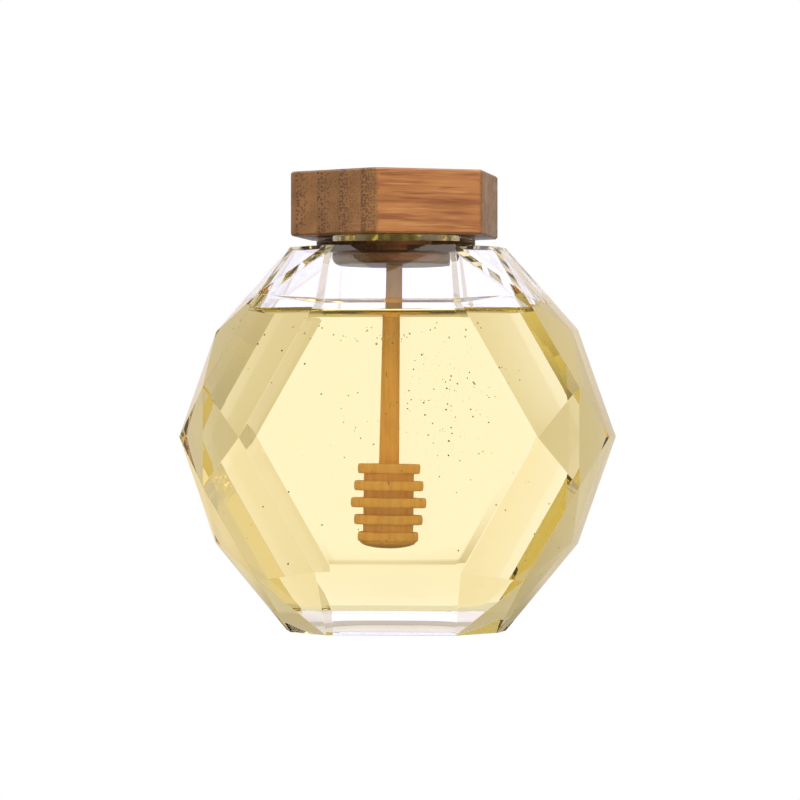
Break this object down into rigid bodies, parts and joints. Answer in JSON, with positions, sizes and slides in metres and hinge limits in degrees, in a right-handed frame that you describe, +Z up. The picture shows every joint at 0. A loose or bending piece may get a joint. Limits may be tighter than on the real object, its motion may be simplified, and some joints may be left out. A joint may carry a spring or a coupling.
{
  "type": "honey jar",
  "caption": "Gem-cut clear glass jar of pale honey with flat hexagon windows, a six-sided bamboo lid with a round plug, and a turned wooden dipper standing in the honey.",
  "frame": {"origin": "centre of the jar's flat base, on the surface it stands on", "axes": "+Z up; X across the two hexagon windows, which face -Y (front) and +Y (back)"},
  "size_m": [0.1098, 0.0606, 0.1141],
  "materials": {
    "glass": "clear moulded glass with sharp cut-look facets",
    "honey": "clear pale yellow liquid honey",
    "bamboo": "satin laminated bamboo",
    "dipper_wood": "plain turned wood, wet with honey"
  },
  "bodies": {
    "root": {"jar": "glass", "honey": "honey", "lid": "bamboo", "dipper": "dipper_wood"}
  },
  "joints": []
}
